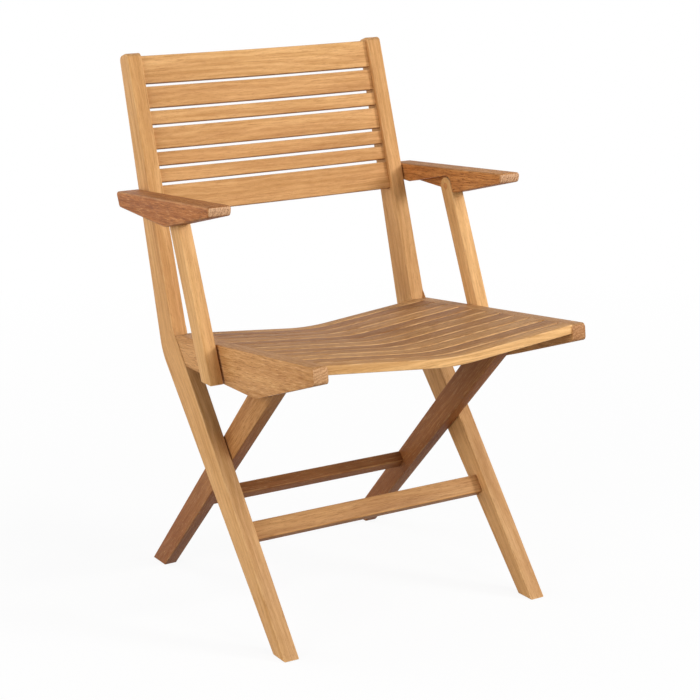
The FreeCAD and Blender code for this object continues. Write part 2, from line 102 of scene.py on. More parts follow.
# Tones from 0 for the plain finish to 1 for its full shade: of whole pieces, of feet and of sawn ends
# The high tones of rear_leg_right and rear_stretcher are partly darker wood and partly painted shade under the
# seat
TONES = {"main_leg_left": 0.28, "main_leg_right": 0.34, "back_rail_top": 0.14, "back_board_1": 0.48,
         "back_board_2": 0.32, "back_board_3": 0.42, "back_board_4": 0.56, "back_board_5": 0.48,
         "back_rail_bottom": 0.44, "front_stretcher": 0.0, "rear_stretcher": 0.9, "rear_leg_left": 0.0,
         "rear_leg_right": 0.70, "seat_rail_left": 0.62, "seat_rail_right": 0.62, "post_left": 0.06,
         "post_right": 0.0, "arm_left": 0.82, "arm_right": 0.0, "seat_slat_01": 0.0}
# The rear legs grow darker towards their feet: painted shade under the main legs and seat
FOOT_SHADE_TONES = {"rear_leg_left": 1.3, "rear_leg_right": 1.1}
# The right seat rail's darker sawn end is painted shade
END_TONES = {"seat_rail_left": 0.25, "seat_rail_right": 0.85, "arm_left": 0.2, "arm_right": 0.3,
             "rear_leg_left": 0.5, "rear_leg_right": 0.8}
PLAIN_END_TONE = 0.1
# Painted shade: extra tone on faces that face downwards
PAINTED_UNDERSIDE_SHADE = 0.5

# Strength of the short dashes, by finish or by piece
FLECKS = {"frame_teak": 0.34, "arm_teak": 1.0, "seat_teak": 0.85, "under_teak": 0.8, "seat_rail_left": 1.0,
          "seat_rail_right": 1.0, "seat_slat_01": 0.2, "front_stretcher": 0.5}
KEPT_VALUES = ("worn", "end_grain", "weather", "tone", "fleck")


# Side view

def lean(degrees):
    """Direction upwards that leans to the rear, in the side view."""
    return Vector((math.sin(math.radians(degrees)), math.cos(math.radians(degrees))))


def rearward(direction):
    """Normal on the rear side of an upward direction."""
    return Vector((direction.y, -direction.x))


def at_height(point, direction, z):
    """Where the line through a point along a direction reaches a height."""
    return point + direction * ((z - point.y) / direction.y)


def crossing(p, d, q, e):
    """Where the line through p along d meets the line through q along e."""
    s = ((q.x - p.x) * e.y - (q.y - p.y) * e.x) / (d.x * e.y - d.y * e.x)
    return p + d * s


def space(x, point):
    """A side-view point put at a place across the chair."""
    return Vector((x, point.x, point.y))


# Modelling

def deselect():
    """Leaves edit mode and selects nothing."""
    if bpy.context.object and bpy.context.object.mode == "EDIT":
        bpy.ops.object.mode_set(mode="OBJECT")
    bpy.ops.object.select_all(action="DESELECT")


def only(piece):
    """Makes one piece the selected and active one."""
    deselect()
    piece.select_set(True)
    bpy.context.view_layer.objects.active = piece


def edit_mesh(piece):
    """The mesh of the piece in edit mode."""
    mesh = bmesh.from_edit_mesh(piece.data)
    mesh.verts.ensure_lookup_table()
    return mesh


def choose(piece, indices):
    """Selects vertices of the piece in edit mode."""
    bpy.ops.mesh.select_all(action="DESELECT")
    mesh = edit_mesh(piece)
    for i in indices:
        mesh.verts[i].select_set(True)
    mesh.select_flush(True)
    bmesh.update_edit_mesh(piece.data)


def place(piece, indices, points):
    """Moves vertices one by one to their points and leaves them selected."""
    for index, point in zip(indices, points):
        mesh = edit_mesh(piece)
        step = point - mesh.verts[index].co
        if step.length > 1e-7:
            choose(piece, [index])
            bpy.ops.transform.translate(value=step)
    choose(piece, indices)


def start_bar(name, points):
    """Adds a small plane at the end of a bar and brings its corners to their points."""
    deselect()
    middle = sum(points, Vector()) / 4
    bpy.ops.mesh.primitive_plane_add(size=0.02, location=middle)
    piece = bpy.context.object
    piece.name = name
    piece.data.name = name
    bpy.ops.object.transform_apply(location=True, rotation=True, scale=True)
    bpy.ops.object.mode_set(mode="EDIT")
    bpy.ops.mesh.select_mode(type="VERT")
    ends = [0, 1, 3, 2]
    place(piece, ends, points)
    return piece, ends


def extend_bar(piece, ends, points):
    """Extrudes the open end of a bar and brings its corners to their points."""
    mesh = edit_mesh(piece)
    old = [mesh.verts[i].co.copy() for i in ends]
    step = sum(points, Vector()) / 4 - sum(old, Vector()) / 4
    choose(piece, ends)
    bpy.ops.mesh.extrude_region_move(TRANSFORM_OT_translate={"value": step})
    mesh = edit_mesh(piece)
    new = [v for v in mesh.verts if v.select]
    ends = [min(new, key=lambda v: (v.co - p - step).length).index for p in old]
    place(piece, ends, points)
    return ends


def bar(name, stations):
    """Bar with four corners at each station along it."""
    piece, ends = start_bar(name, stations[0])
    for points in stations[1:]:
        ends = extend_bar(piece, ends, points)
    bpy.ops.mesh.select_all(action="SELECT")
    bpy.ops.mesh.normals_make_consistent(inside=False)
    bpy.ops.object.mode_set(mode="OBJECT")
    return piece


def rectangle(x, start, side, depth):
    """Section of a cross piece: its four corners from a side-view point and two edges at it."""
    return [space(x, p) for p in (start, start + side, start + side + depth, start + depth)]


def slab(name, pairs, x0, x1):
    """Bar seen from the side as pairs of front and rear points, from x0 to x1 across the chair."""
    return bar(name, [[space(x0, f), space(x1, f), space(x1, r), space(x0, r)] for f, r in pairs])


def round_path(piece, path, radius, segments):
    """Rounds the edges that run across the chair at the inner points of a side-view path."""
    for before, point, after in zip(path, path[1:], path[2:]):
        a = (before - point).normalized()
        b = (after - point).normalized()
        half = math.acos(max(-1.0, min(1.0, a.dot(b)))) / 2
        only(piece)
        bpy.ops.object.mode_set(mode="EDIT")
        bpy.ops.mesh.select_mode(type="EDGE")
        bpy.ops.mesh.select_all(action="DESELECT")
        mesh = edit_mesh(piece)
        for edge in mesh.edges:
            if all((Vector((v.co.y, v.co.z)) - point).length < SAME_PLACE for v in edge.verts):
                edge.select_set(True)
        bmesh.update_edit_mesh(piece.data)
        bpy.ops.mesh.bevel(offset=radius / math.tan(half), offset_type="OFFSET", segments=segments,
                           affect="EDGES")
        bpy.ops.mesh.select_mode(type="VERT")
        bpy.ops.object.mode_set(mode="OBJECT")


def round_bar(name, centre, radius, x0, x1, sides=64):
    """Cylinder across the chair, used to shape a piece."""
    deselect()
    bpy.ops.mesh.primitive_cylinder_add(vertices=sides, radius=radius, depth=x1 - x0,
                                        location=space((x0 + x1) / 2, centre), rotation=(0, math.pi / 2, 0))
    shape = bpy.context.object
    shape.name = name
    bpy.ops.object.transform_apply(location=True, rotation=True, scale=True)
    return shape


def shape_with(piece, tool, operation="DIFFERENCE"):
    """Cuts the tool from the piece or joins it to it, and removes the tool."""
    only(piece)
    modifier = piece.modifiers.new("Shape", "BOOLEAN")
    modifier.operation = operation
    modifier.solver = "EXACT"
    modifier.object = tool
    bpy.ops.object.modifier_apply(modifier=modifier.name)
    only(tool)
    bpy.ops.object.delete()


def round_edges(piece, radius, slot):
    """Rounds the sharp edges; the rounding takes the second slot until the grain is laid."""
    piece.data.materials.clear()
    for k in range(2):
        piece.data.materials.append(finish_of(slot))
    only(piece)
    modifier = piece.modifiers.new("Rounding", "BEVEL")
    modifier.width = radius
    modifier.segments = 3
    modifier.limit_method = "ANGLE"
    modifier.angle_limit = ROUNDED_FROM
    modifier.material = 1
    bpy.ops.object.modifier_apply(modifier=modifier.name)


def side_run(origin, direction, limit=None):
    """Grain along a side-view direction, as a run for lay_grain."""
    return space(0.0, origin), Vector((0.0, *direction)), Vector((0.0, *rearward(direction))), limit


def cross_run(origin, direction):
    """Grain from side to side, with a side-view direction across it, as a run for lay_grain."""
    return origin, ACROSS, Vector((0.0, *direction)), None


def share_above(value, start, rise):
    """0 up to the start, then rising to 1."""
    return min(1.0, max(0.0, (value - start) * rise))


def lay_grain(piece, runs, seed, foot_tone_and_shade, high_tone, end_tone, fleck):
    """Keeps in attributes the place in the grain, rounded edges for wear and painted highlight, end grain, tops
    facing up for weathering and painted shade, tone and flecks.

    runs holds (origin, along, across, limit): a face belongs to the first run whose limit it is below.
    The tone changes from the foot up to the hinge's height, which paints shade towards the rear legs' feet, and
    faces that face downwards get more of it as painted shade."""
    mesh = piece.data
    mesh.attributes.new("grain", "FLOAT_VECTOR", "CORNER")
    for name in KEPT_VALUES:
        mesh.attributes.new(name, "FLOAT", "CORNER")
    grain = mesh.attributes["grain"]
    worn, ends, tops, tones, flecks = [mesh.attributes[name] for name in KEPT_VALUES]
    offset = Vector((seed * 0.731, seed * 0.193, seed * 0.117))
    for face in mesh.polygons:
        for origin, along, across, limit in runs:
            if limit is None or face.center.z < limit:
                break
        third = along.cross(across)
        end = share_above(abs(face.normal.dot(along)), 0.55, 4)
        # Faces that face up take a darker, greyer tint: weathering and painted shade on the tops
        facing_up = share_above(face.normal.z, 0.35, 3) * (1 - end)
        # Painted shade on faces that face downwards
        underside_shade = share_above(-face.normal.z, 0.35, 3)
        for k in face.loop_indices:
            point = mesh.vertices[mesh.loops[k].vertex_index].co
            p = point - origin
            high = min(1.0, point.z / HINGE.y)
            # Tone from the foot to the hinge's height, with painted shade towards the rear legs' feet and on faces
            # that face downwards
            side = foot_tone_and_shade + (high_tone - foot_tone_and_shade) * high + PAINTED_UNDERSIDE_SHADE * underside_shade
            grain.data[k].vector = Vector((p.dot(along), p.dot(across), p.dot(third))) + offset
            # Rounded edges, lightened later by the edge colour: wear and painted highlight
            worn.data[k].value = float(face.material_index == 1)
            ends.data[k].value = end
            tops.data[k].value = facing_up
            tones.data[k].value = side * (1 - end) + end_tone * end
            flecks.data[k].value = fleck
        face.material_index = 0
    mesh.materials.pop(index=1)


def other_side(piece, name):
    """A mirrored copy of a piece, with its own mesh."""
    only(piece)
    bpy.ops.object.duplicate(linked=False)
    copy = bpy.context.object
    copy.name = name
    copy.data.name = name
    bpy.ops.object.mode_set(mode="EDIT")
    bpy.ops.mesh.select_all(action="SELECT")
    bpy.ops.transform.mirror(constraint_axis=(True, False, False), orient_type="GLOBAL",
                             center_override=(0.0, 0.0, 0.0))
    bpy.ops.mesh.normals_make_consistent(inside=False)
    bpy.ops.object.mode_set(mode="OBJECT")
    return copy


def hand_over(piece, body, node, slot, runs, seed):
    """Shades a finished piece smooth, gives it its grain and its body, and hides the CAD node that it stands for.
    """
    only(piece)
    bpy.ops.object.shade_smooth_by_angle(angle=SMOOTH_BELOW)
    tone = TONES.get(node, (seed * 0.37) % 1.0)
    lay_grain(piece, runs, seed, FOOT_SHADE_TONES.get(node, tone), tone, END_TONES.get(node, PLAIN_END_TONE),
              FLECKS.get(node, FLECKS[slot]))
    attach(piece, body)
    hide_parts(node)


def hand_over_pair(piece, body, node, slot, runs, seed):
    """Hands over a right piece and its mirrored copy; {} in body and node is the side."""
    mirror = other_side(piece, piece.name.replace("right", "left"))
    for half, side, number in ((piece, "right", seed), (mirror, "left", seed + 1.0)):
        hand_over(half, body.format(side), node.format(side), slot, runs, number)


# Finishes

def feed(tree, socket, value):
    """Gives a node's input a plain value, a plain colour or the output of another node."""
    if isinstance(value, bpy.types.NodeSocket):
        tree.links.new(value, socket)
    elif socket.type == "RGBA":
        socket.default_value = (*value[:3], 1.0)
    else:
        socket.default_value = value


def add_node(tree, kind, **inputs):
    """A new node with its inputs fed by name."""
    node = tree.nodes.new(kind)
    for key, value in inputs.items():
        feed(tree, node.inputs[key.replace("_", " ")], value)
    return node


def new_material(name):
    """A new material with its nodes and its shader."""
    material = bpy.data.materials.new(name)
    material.use_nodes = True
    tree = material.node_tree
    return material, tree, tree.nodes["Principled BSDF"]


def remap(tree, source, low, high, to_low=0.0, to_high=1.0):
    """A value brought from one range to another and kept within it."""
    node = add_node(tree, "ShaderNodeMapRange", Value=source, From_Min=low, From_Max=high, To_Min=to_low,
                    To_Max=to_high)
    return node.outputs["Result"]


def weigh(tree, a, b, share):
    """a * (1 - share) + b * share, for plain values."""
    return add_node(tree, "ShaderNodeMix", Factor=share, A=a, B=b).outputs["Result"]


def reckon(tree, operation, *values, kind="Math", output="Value"):
    """Result of a sum on values, or on places with the kind VectorMath."""
    node = tree.nodes.new("ShaderNode" + kind)
    node.operation = operation
    for socket, value in zip(node.inputs, values):
        feed(tree, socket, value)
    return node.outputs[output]


def tint(tree, factor, a, b, mode="MIX"):
    """Mix of two colours; each is a socket or a plain colour."""
    node = tree.nodes.new("ShaderNodeMix")
    node.data_type = "RGBA"
    node.blend_type = mode
    node.clamp_factor = True
    for socket, value in zip((node.inputs["Factor"], node.inputs[6], node.inputs[7]), (factor, a, b)):
        feed(tree, socket, value)
    return node.outputs[2]


def stretched_noise(tree, where, scale, detail, roughness=0.6, seed=0.0):
    """Noise pulled out along the grain by the three scales."""
    mapping = add_node(tree, "ShaderNodeMapping", Vector=where, Scale=scale,
                       Location=(seed, seed * 0.7, seed * 0.3))
    noise = add_node(tree, "ShaderNodeTexNoise", Vector=mapping.outputs["Vector"], Scale=1.0, Detail=detail,
                     Roughness=roughness)
    return noise.outputs["Fac"]


def banded(tree, where, scale, distortion):
    """Growth bands drawn out along the grain by the three scales."""
    spread = add_node(tree, "ShaderNodeMapping", Vector=where, Scale=scale)
    bands = add_node(tree, "ShaderNodeTexWave", Vector=spread.outputs["Vector"], Scale=1.0,
                     Distortion=distortion, Detail=2.0, Detail_Scale=0.7)
    bands.bands_direction = "DIAGONAL"
    return bands.outputs["Fac"]


def kept(tree, name, output="Fac"):
    """What the piece keeps in an attribute."""
    node = tree.nodes.new("ShaderNodeAttribute")
    node.attribute_name = name
    return node.outputs[output]


def bent_grain(tree, where):
    """The place in the grain with a slow swing to the sides, so that its lines aren't straight."""
    drift = stretched_noise(tree, where, (3.2, 14.0, 14.0), detail=2.0, roughness=0.5, seed=3.0)
    sums = partial(reckon, tree, kind="VectorMath", output="Vector")
    return sums("ADD", where, sums("MULTIPLY", (0.0, 0.022, 0.022), drift))


def surface(tree, shader, colour, roughness, height, strength, distance):
    """Gives a shader its colour and roughness, and raises and sinks it by a height."""
    bump = add_node(tree, "ShaderNodeBump", Strength=strength, Distance=distance, Height=height)
    for key, value in (("Base Color", colour), ("Roughness", roughness), ("Normal", bump.outputs["Normal"])):
        feed(tree, shader.inputs[key], value)


def own_place(tree):
    """The place on the object itself."""
    return tree.nodes.new("ShaderNodeTexCoord").outputs["Object"]


def teak(name, finish):
    """Oiled teak: growth bands, streaks, pores, lighter rounded edges for wear and painted highlight, darker tops
    for weathering and painted shade, painted shade through the tone, and its own end grain.
    """
    material, tree, shader = new_material(name)
    shader.inputs["Specular IOR Level"].default_value = 0.18
    where = kept(tree, "grain", "Vector")
    along = bent_grain(tree, where)
    noise = partial(stretched_noise, tree)
    fitted = partial(remap, tree)
    value = partial(kept, tree)

    bands = banded(tree, along, (0.9, 62.0, 50.0), 2.2)
    streaks = noise(along, (5.0, 420.0, 420.0), 5.0, 0.72)
    dashes = noise(along, (46.0, 600.0, 600.0), 5.0, 0.75, seed=19.0)
    broad = noise(where, (4.0, 30.0, 30.0), 4.0, 0.6, seed=7.0)
    pores = noise(along, (110.0, 2300.0, 2300.0), 2.0, 0.5, seed=11.0)
    rosy = noise(along, (3.0, 34.0, 34.0), 3.0, 0.6, seed=41.0)

    figure = weigh(tree, fitted(streaks, 0.5 - finish.softness, 0.5 + finish.softness), bands,
                   finish.band_share)
    figure = weigh(tree, figure, fitted(broad, 0.34, 0.66), share=0.42)
    colour = tint(tree, fitted(figure, 0.24, 0.76), finish.dark, finish.light)
    colour = tint(tree, fitted(rosy, 0.46, 0.68, to_high=0.42), colour, finish.shade, "MULTIPLY")
    colour = tint(tree, fitted(streaks, 0.40, 0.26, to_high=0.7), colour, finish.deep)
    colour = tint(tree, fitted(pores, 0.37, 0.27, to_high=0.5), colour, finish.deep)

    sawn = noise(where, (20.0, 420.0, 640.0), 5.0, 0.75, seed=5.0)
    rings = weigh(tree, banded(tree, where, (0.0, 120.0, 44.0), 9.0), sawn, share=0.84)
    end_colour = tint(tree, fitted(rings, 0.34, 0.64), finish.end_dark, finish.end_light)
    colour = tint(tree, value("end_grain"), colour, end_colour)
    # The tone darkens a piece by the shade tint; it also holds painted shade on undersides, towards the rear legs'
    # feet and on the right rail's end
    colour = tint(tree, value("tone"), colour, finish.shade, "MULTIPLY")

    fleck = value("fleck")
    dark_dashes = reckon(tree, "MULTIPLY", fleck, fitted(dashes, 0.465, 0.40, to_high=0.88))
    light_dashes = reckon(tree, "MULTIPLY", fleck, fitted(dashes, 0.55, 0.64, to_high=0.55))
    colour = tint(tree, dark_dashes, colour, finish.deep)
    colour = tint(tree, light_dashes, colour, finish.edge)

    patchy = noise(where, (10.0, 46.0, 46.0), 3.0, 0.6, seed=29.0)
    chipped = noise(where, (28.0, 60.0, 60.0), 3.0, 0.6, seed=17.0)
    # Darker, greyer tops: weathering and painted shade on faces that face up
    weather = reckon(tree, "MULTIPLY", value("weather"), fitted(patchy, 0.30, 0.60, 0.75, 1.0))
    # Lighter rounded edges: wear and painted highlight
    rubbing_and_highlight = reckon(tree, "MULTIPLY", value("worn"), fitted(chipped, 0.38, 0.68, to_high=0.45))
    colour = tint(tree, weather, colour, finish.weathered, "MULTIPLY")
    colour = tint(tree, rubbing_and_highlight, colour, finish.edge)

    roughness = fitted(streaks, 0.3, 0.7, finish.roughness + 0.09, finish.roughness - 0.07)
    height = weigh(tree, fitted(pores, 0.26, 0.42), fitted(dashes, 0.3, 0.7), share=0.5)
    surface(tree, shader, colour, roughness, height, strength=0.6, distance=0.0006)
    return material


def turned_plug(name, finish):
    """End-grain plug of a small size, on object coordinates."""
    material, tree, shader = new_material(name)
    rings = stretched_noise(tree, own_place(tree), (300.0, 900.0, 260.0), detail=3.0, seed=2.0)
    colour = tint(tree, remap(tree, rings, 0.35, 0.65), finish.dark, finish.light)
    roughness = remap(tree, rings, 0.3, 0.7, to_low=0.66, to_high=0.5)
    surface(tree, shader, colour, roughness, rings, strength=0.4, distance=0.0003)
    return material


def turned_steel(name, colour):
    """Plain steel with fine turning marks and a little tarnish."""
    material, tree, shader = new_material(name)
    shader.inputs["Metallic"].default_value = 1.0
    where = own_place(tree)
    marks = stretched_noise(tree, where, (2400.0, 120.0, 120.0), detail=3.0, seed=1.0)
    tarnish = stretched_noise(tree, where, (60.0, 60.0, 60.0), detail=4.0, seed=9.0)
    mottled = tint(tree, remap(tree, tarnish, 0.38, 0.7), colour, [c * 0.72 for c in colour])
    roughness = remap(tree, marks, 0.3, 0.7, to_low=0.28, to_high=0.44)
    surface(tree, shader, mottled, roughness, marks, strength=0.3, distance=0.0001)
    return material


def finish_of(slot):
    """The teak material of a slot, made once."""
    name = "Oiled teak " + slot.split("_")[0]
    if name in bpy.data.materials:
        return bpy.data.materials[name]
    return teak(name, getattr(bpy.context.scene.armchair_finishes, slot))


# Settings

def number(name, value, text, **rules):
    """A number of a group of settings."""
    return bpy.props.FloatProperty(name=name, default=value, description=text, **rules)


def numbers(name, values, text, **rules):
    """Several numbers that belong together."""
    return bpy.props.FloatVectorProperty(name=name, default=values, size=len(values), description=text,
                                         **rules)


def angle(name, degrees, text):
    """An angle, given here in degrees."""
    return number(name, math.radians(degrees), text, subtype="ANGLE", unit="ROTATION")


# Sizes in metres, shares from 0 to 1, and colours in linear red, green and blue
length = partial(number, min=0.0, max=2.0, unit="LENGTH", precision=4)
lengths = partial(numbers, unit="LENGTH", precision=4)
share = partial(number, min=0.0, max=1.0, subtype="FACTOR")
colour = partial(numbers, min=0.0, max=1.0, subtype="COLOR")


class ArmchairSizes(bpy.types.PropertyGroup):
    foot_lean: angle("Leg lean", 38.13, "Lean of the main legs below the seat")
    back_lean: angle("Back lean", 17.17, "Lean of the uprights")
    seat_rise: angle("Seat rise", 5.31, "Rise of the seat towards its front")
    foot_depth: length("Foot depth", 0.036, "Depth of a main leg on the floor")
    bend_above_hinge: length("Bend height", 0.0188, "Height of the front bend above the seat hinge")
    rear_bend_below_hinge: length("Rear bend drop", 0.0305, "Drop of the rear bend below the seat hinge")
    bend_level_depth: length("Bend depth", 0.0779, "Level depth of the leg at its rear bend")
    bend_run: length("Bend run", 0.045, "Height of the straight stretch that the rear bend may take up")
    rear_bend_radius: length("Rear bend radius", 0.075, "Rounding of the rear bend")
    top_depth: length("Upright depth", 0.0292, "Depth of the upright at its top")
    top_radius: length("Top radius", 0.008, "Rounding of the upright's top")
    chair_height: length("Height", 0.870, "Height of the chair at the sharp corner of its back")
    rear_foot_depth: length("Rear foot depth", 0.0456, "Depth of a rear leg on the floor")
    rear_leg_half_width: length("Rear leg half width", 0.0236, "Half width of a rear leg at the hook rod")
    rear_leg_nose: length("Rear leg nose", 0.0215, "Rounding of the rear leg's top")
    rail_length: length("Rail length", 0.437, "Length of a seat rail")
    rail_depth_front: length("Rail front depth", 0.0255, "Depth of a seat rail at its front end")
    rail_bottom_drop: length("Rail bottom", 0.0365, "Drop of the rail's underside below the hinge")
    rail_taper_start: length("Rail taper", 0.262, "Place along the rail where its underside rises")
    rail_corner: length("Rail corner", 0.0065, "Rounding of the rail's front corners")
    slat_pitch: length("Slat pitch", 0.0382, "Distance from slat to slat")
    slat_gap: length("Slat gap", 0.004, "Open gap between slats")
    slat_thickness: length("Slat thickness", 0.014, "Thickness of a seat slat")
    front_slat_width: length("Front slat width", 0.030, "Width of the front slat")
    slat_front_inset: length("Front inset", 0.0015, "Set back of the front slat from the rail's end")
    slat_rear_overhang: length("Rear overhang", 0.003, "Reach of the rear slat behind the hinge")
    slat_dip: length("Seat dip", 0.020, "Depth of the valley before its soft bend")
    slat_bend: length("Seat bend", 0.400, "Radius of the soft bend in the middle of the seat")
    board_inset: length("Board inset", 0.007, "Set back of the boards from the uprights' front")
    board_thickness: length("Board thickness", 0.012, "Thickness of a back board")
    board_bow: length("Board bow", 0.005, "Bow of the back boards to the rear")
    board_top_drop: length("Board top", 0.005, "Drop of the top rail below the upright's top")
    board_gap: length("Board gap", 0.0053, "Open gap between back boards")
    board_widths: lengths("Board widths", (0.0455, 0.0348, 0.022, 0.0348, 0.022, 0.022, 0.0455),
                          "Widths of the back's seven boards, from the top")
    front_stretcher: lengths("Front stretcher", (0.2138, 0.030, 0.017, 0.018),
                             "Place along the leg, width, set back behind its front line and thickness")
    rear_stretcher: lengths("Rear stretcher", (0.2185, 0.022, -0.0212, 0.020),
                            "Place along the leg, width, set back behind its rear line and thickness")
    post_depth: length("Post depth", 0.0292, "Depth of an arm post")
    post_foot_drop: length("Post foot", 0.0295, "Drop of the post's foot below its pin")
    plug_bore: length("Plug bore", 0.0053, "Radius of the bore for the plug at the post's top")
    arm_front_top: lengths("Arm front top", (-0.159, 0.0396), "Place behind and above the post's pivot")
    arm_front_low: lengths("Arm front low", (-0.155, 0.0241), "Place behind and above the post's pivot")
    arm_rear_top: lengths("Arm rear top", (0.173, 0.0206), "Place behind and above the post's pivot")
    arm_rear_low: lengths("Arm rear low", (0.162, -0.0039), "Place behind and above the post's pivot")
    arm_belly: lengths("Arm belly", (-0.004, -0.0124), "Deepest place, behind and above the post's pivot")
    arm_belly_radius: length("Arm belly radius", 0.045, "Rounding of the arm's deepest place")
    arm_corner: length("Arm corner", 0.0055, "Rounding of the arm's ends")
    leg_round: length("Leg edge", 0.0016, "Rounding of the edges of legs, rails and posts")
    board_round: length("Board edge", 0.0016, "Rounding of the edges of the back boards")
    slat_round: length("Slat edge", 0.0014, "Rounding of the edges of the seat slats")
    arm_round: length("Arm edge", 0.0026, "Rounding of the edges of the arms")


class TeakFinish(bpy.types.PropertyGroup):
    light: colour("Light wood", (0.82, 0.475, 0.195), "Colour of the light bands")
    dark: colour("Dark wood", (0.62, 0.325, 0.110), "Colour of the dark bands")
    deep: colour("Streaks", (0.32, 0.13, 0.037), "Colour of the thin dark streaks and pores")
    # This colour lightens the rounded edges, as wear and painted highlight, and the light dashes of the grain
    edge: colour("Worn edge", (0.82, 0.51, 0.235), "Colour of the rounded edges and light dashes")
    end_light: colour("Light end grain", (0.74, 0.44, 0.22), "Light colour of sawn ends")
    end_dark: colour("Dark end grain", (0.42, 0.205, 0.085), "Dark colour of sawn ends")
    # Through the tone this tint also paints shade: on undersides, towards the rear legs' feet and on the right
    # rail's end
    shade: colour("Deep tone", (0.66, 0.52, 0.42), "Tint of the pieces cut from darker wood")
    # Tint of faces that face up: weathering and painted shade on the tops
    weathered: colour("Weathered top", (0.83, 0.87, 1.0), "Tint of the faces that lie open to the sky")
    band_share: share("Bands", 0.35, "Share of the growth bands in the figure")
    softness: share("Softness", 0.20, "Softness of the streaks", min=0.05, max=0.5)
    roughness: share("Roughness", 0.54, "Roughness of the oiled surface", min=0.1, max=0.9)


def finish_group(name, text):
    """The finish of one group of pieces."""
    return bpy.props.PointerProperty(type=TeakFinish, name=name, description=text)


class ArmchairFinishes(bpy.types.PropertyGroup):
    frame_teak: finish_group("Frame", "Main legs, rails, posts and back")
    arm_teak: finish_group("Arms", "The two arms")
    seat_teak: finish_group("Seat", "The seat slats")
    under_teak: finish_group("Under", "Rear legs and stretchers")
    steel: colour("Steel", (0.58, 0.57, 0.54), "Colour of pins, tongues and rod")


class ArmchairCamera(bpy.types.PropertyGroup):
    azimuth: angle("Azimuth", -30.4831, "Turn of the camera about the chair")
    elevation: angle("Elevation", 12.057, "Rise of the camera's line of sight")
    roll: angle("Roll", -1.0459, "Roll of the camera")
    place: numbers("Place", (-1.4821011, -2.4984434, 1.1363215), "Place of the camera", unit="LENGTH",
                   subtype="XYZ")
    lens: number("Lens", 96.533, "Focal length in millimetres")
    shift: numbers("Shift", (0.01524, -0.10004), "Shift of the lens across and upwards")


def set_finishes(finishes):
    """The finishes other than the frame's start from their own values, all but the roughness."""
    starts = {
        "arm_teak": ((0.67, 0.290, 0.082), (0.43, 0.160, 0.042), (0.19, 0.062, 0.017), (0.70, 0.36, 0.14),
                     (0.82, 0.53, 0.31), (0.52, 0.28, 0.15), (0.66, 0.52, 0.42), (0.86, 0.93, 1.0),
                     0.30, 0.10),
        "seat_teak": ((0.89, 0.525, 0.22), (0.60, 0.315, 0.108), (0.27, 0.115, 0.036), (0.88, 0.58, 0.30),
                      (0.66, 0.38, 0.18), (0.42, 0.205, 0.085), (0.60, 0.50, 0.44), (0.68, 0.61, 0.54),
                      0.45, 0.11),
        "under_teak": ((0.66, 0.345, 0.125), (0.48, 0.225, 0.072), (0.26, 0.105, 0.028),
                       (0.60, 0.33, 0.13), (0.56, 0.29, 0.12), (0.34, 0.155, 0.06), (0.50, 0.33, 0.22),
                       (0.83, 0.87, 1.0), 0.30, 0.14)}
    for slot, values in starts.items():
        for key, value in zip(TeakFinish.__annotations__, values):
            setattr(getattr(finishes, slot), key, value)


def side_lines():
    """The sizes, and the lines of main leg, seat and post that the pieces share in the side view."""
    size = bpy.context.scene.armchair_sizes
    line = SimpleNamespace()
    line.foot_dir = lean(math.degrees(size.foot_lean))
    line.back_dir = lean(math.degrees(size.back_lean))
    line.foot_front = at_height(HINGE, line.foot_dir, 0.0)
    line.foot_rear = line.foot_front + Vector((size.foot_depth, 0.0))
    line.front_bend = at_height(HINGE, line.foot_dir, HINGE.y + size.bend_above_hinge)
    line.rear_bend = (at_height(HINGE, line.foot_dir, HINGE.y - size.rear_bend_below_hinge)
                      + Vector((size.bend_level_depth, 0.0)))
    line.leg_top = at_height(line.front_bend, line.back_dir, size.chair_height)
    line.leg_top_rear = line.leg_top + rearward(line.back_dir) * size.top_depth
    line.hollow = (line.front_bend - HINGE).dot(rearward(line.back_dir))
    line.seat_up = lean(math.degrees(size.seat_rise))
    line.seat_dir = -rearward(line.seat_up)
    line.rail_top_rear = HINGE + line.seat_up * (line.hollow - HINGE_GAP)
    line.post_dir = (ARM_PIVOT - HINGE).normalized()
    return size, line


def rear_leg_lines():
    """Front and rear line of a rear leg, each as a foot point and a direction, and the way across it."""
    size = bpy.context.scene.armchair_sizes
    front = Vector((node_range("rear_leg_right", 1)[1] - size.rear_foot_depth, 0.0))
    rear = front + Vector((size.rear_foot_depth, 0.0))
    across = rearward((HOOK_ROD - (front + rear) / 2).normalized())
    front_dir = (HOOK_ROD - across * size.rear_leg_half_width - front).normalized()
    rear_dir = (HOOK_ROD + across * size.rear_leg_half_width - rear).normalized()
    return (front, front_dir), (rear, rear_dir), across


# Pieces

